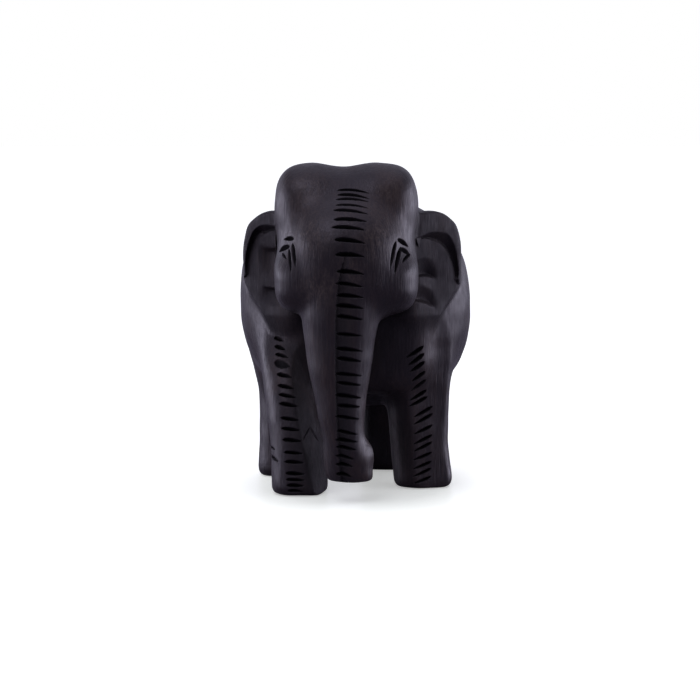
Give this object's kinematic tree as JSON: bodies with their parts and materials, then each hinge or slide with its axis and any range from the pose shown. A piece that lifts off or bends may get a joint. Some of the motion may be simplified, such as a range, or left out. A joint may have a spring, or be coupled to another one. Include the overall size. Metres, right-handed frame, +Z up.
{
  "type": "carved wooden elephant figurine",
  "caption": "Small standing elephant carved in dark polished wood, with a domed head, long trunk, folded ears and gouged folds, resting on its feet.",
  "frame": {"origin": "on the ground under the middle of the figure's bounding box", "axes": "+Z up, the elephant faces -Y, and its own left side is towards +X"},
  "size_m": [0.0545, 0.0802, 0.076],
  "materials": {
    "dark_wood": "satin polished, hand carved, near-black brown"
  },
  "bodies": {
    "root": {"torso": "dark_wood", "head": "dark_wood", "trunk": "dark_wood", "left_ear": "dark_wood", "right_ear": "dark_wood", "right_front_leg": "dark_wood", "left_front_leg": "dark_wood", "right_rear_leg": "dark_wood", "left_rear_leg": "dark_wood", "tail": "dark_wood"}
  },
  "joints": []
}
